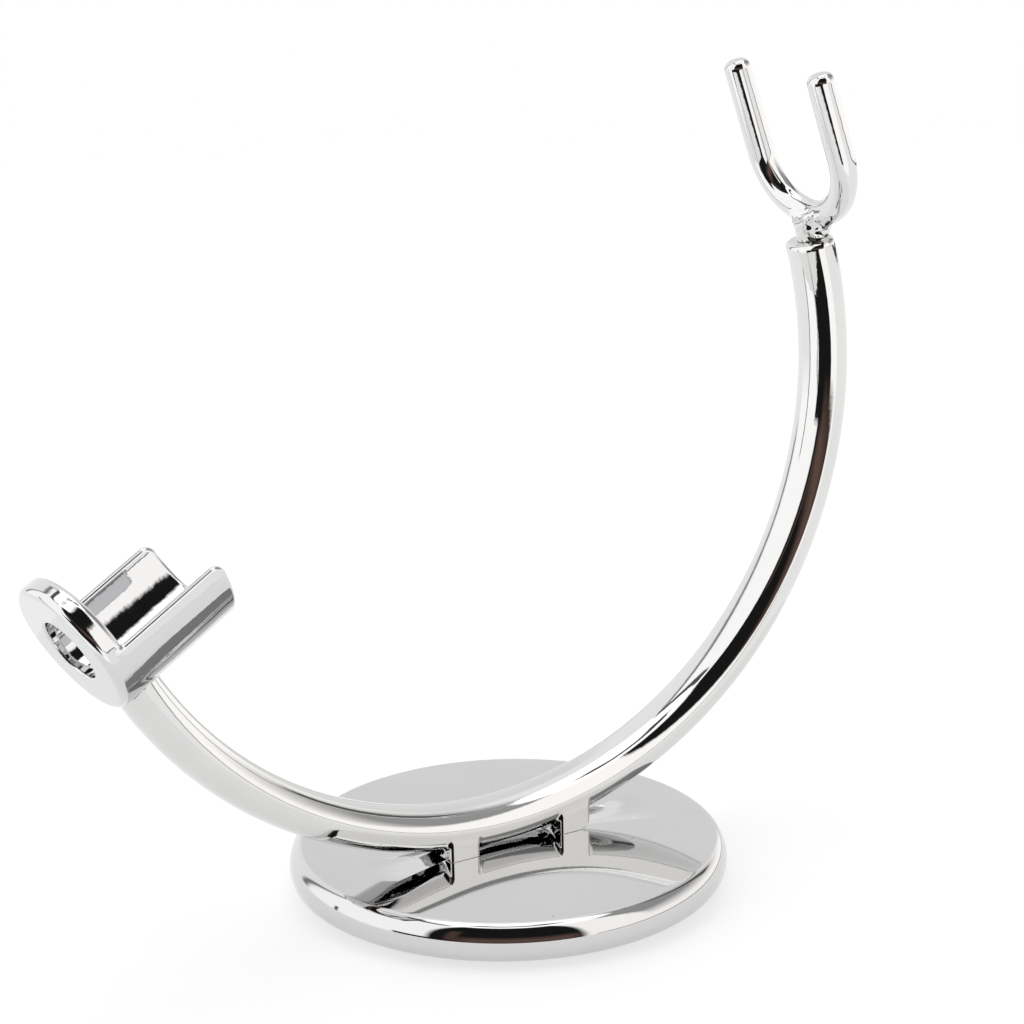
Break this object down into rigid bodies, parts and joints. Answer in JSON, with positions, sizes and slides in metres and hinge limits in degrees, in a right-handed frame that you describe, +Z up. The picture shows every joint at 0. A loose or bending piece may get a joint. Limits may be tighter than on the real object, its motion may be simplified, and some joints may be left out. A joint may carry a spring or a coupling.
{
  "type": "razor and shaving brush stand",
  "caption": "Chrome counter stand: a C-shaped bar on a round base, with a flanged half-pipe cradle at one end and a two-prong fork at the other, for a razor or shaving brush.",
  "frame": {"origin": "centre of the round base's underside, on the counter top", "axes": "+Z up; the curved bar lies in a plane parallel to XZ, 1 mm to -Y of the base's centre, with the cradle at -X and the fork at +X; the pictured side is -Y"},
  "size_m": [0.1313, 0.065, 0.118],
  "materials": {
    "disc_chrome": "mirror-polished chrome plate",
    "bar_chrome": "mirror-polished chrome plate",
    "fork_chrome": "mirror-polished chrome plate",
    "cradle_chrome": "mirror-polished chrome plate",
    "screw_steel": "zinc-plated steel",
    "pad_rubber": "matt foam rubber"
  },
  "bodies": {
    "root": {"base_pad": "pad_rubber", "base_disc": "disc_chrome", "base_screw_left": "screw_steel", "base_washer_left": "screw_steel", "base_screw_right": "screw_steel", "base_washer_right": "screw_steel", "curved_bar": "bar_chrome", "fork": "fork_chrome", "cradle": "cradle_chrome", "cradle_screw": "screw_steel"}
  },
  "joints": []
}
